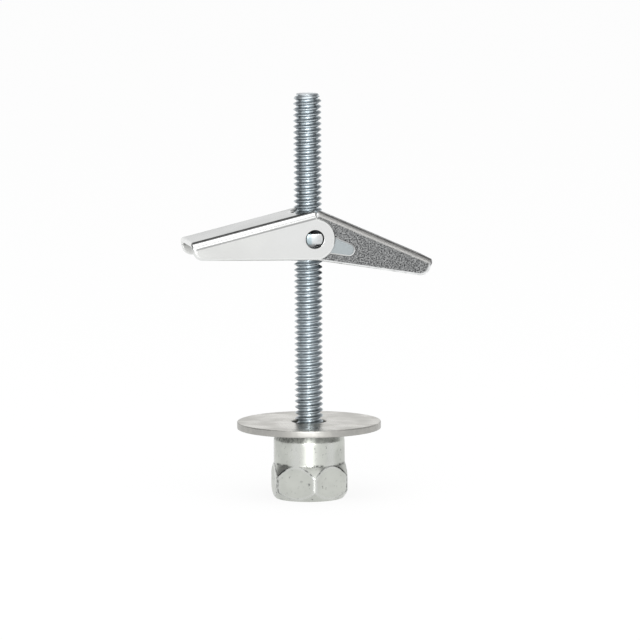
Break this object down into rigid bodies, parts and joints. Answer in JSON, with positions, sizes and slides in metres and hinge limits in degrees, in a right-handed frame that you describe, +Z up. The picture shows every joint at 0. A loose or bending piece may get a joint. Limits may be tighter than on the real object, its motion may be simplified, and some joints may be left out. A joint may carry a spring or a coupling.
{
  "type": "spring toggle bolt",
  "caption": "Spring toggle bolt that hangs a threaded rod from a hollow ceiling: hex rod coupler with a threaded stud, fender washer, and sprung folding sheet-metal wings on a trunnion nut.",
  "frame": {"origin": "centre of the coupler's bottom face, at the mouth of the rod's tapped hole", "axes": "+Z up the stud, X along the open wings, Y along the wings' pivot"},
  "size_m": [0.055, 0.0318, 0.0897],
  "materials": {
    "coupler_zinc": "zinc-plated steel, satin, faintly blotched",
    "stud_zinc": "bright blue-white zinc-plated steel thread",
    "washer_zinc": "zinc-plated steel with rolling marks",
    "nut_zinc": "zinc-plated stamped steel",
    "spring_steel": "drawn spring wire",
    "bright_wing_zinc": "bright smooth zinc plate",
    "mottled_wing_zinc": "mottled grey zinc plate with a bright pressed tongue"
  },
  "bodies": {
    "washer": {"fender_washer": "washer_zinc"},
    "hanger": {"rod_coupler": "coupler_zinc", "threaded_stud": "stud_zinc"},
    "nut": {"trunnion_nut": "nut_zinc", "wing_spring": "spring_steel"},
    "left_wing": {"left_wing": "bright_wing_zinc"},
    "right_wing": {"right_wing": "mottled_wing_zinc"}
  },
  "joints": [
    {"name": "stud_turn", "type": "hinge", "parent": "washer", "child": "hanger", "pos_m": [0, 0, 0], "axis": [0, 0, 1], "range_deg": [-7922, 3602]},
    {"name": "nut_travel", "type": "slide", "parent": "washer", "child": "nut", "axis": [0, 0, 1], "range_m": [-0.0127, 0.02794]},
    {"name": "left_fold", "type": "hinge", "parent": "nut", "child": "left_wing", "pos_m": [0, 0, 0.05825], "axis": [0, -1, 0], "range_deg": [0, 77.2], "stiffness_Nm_per_rad": 0.01, "springref_deg": -22.92, "deforming": ["wing_spring"]},
    {"name": "right_fold", "type": "hinge", "parent": "nut", "child": "right_wing", "pos_m": [0, 0, 0.05825], "axis": [0, 1, 0], "range_deg": [0, 65.6], "stiffness_Nm_per_rad": 0.01, "springref_deg": -22.92, "deforming": ["wing_spring"]}
  ],
  "couplings": [
    {"joint": "stud_turn", "follows": "nut_travel", "rad_per_m": -4947.4}
  ]
}
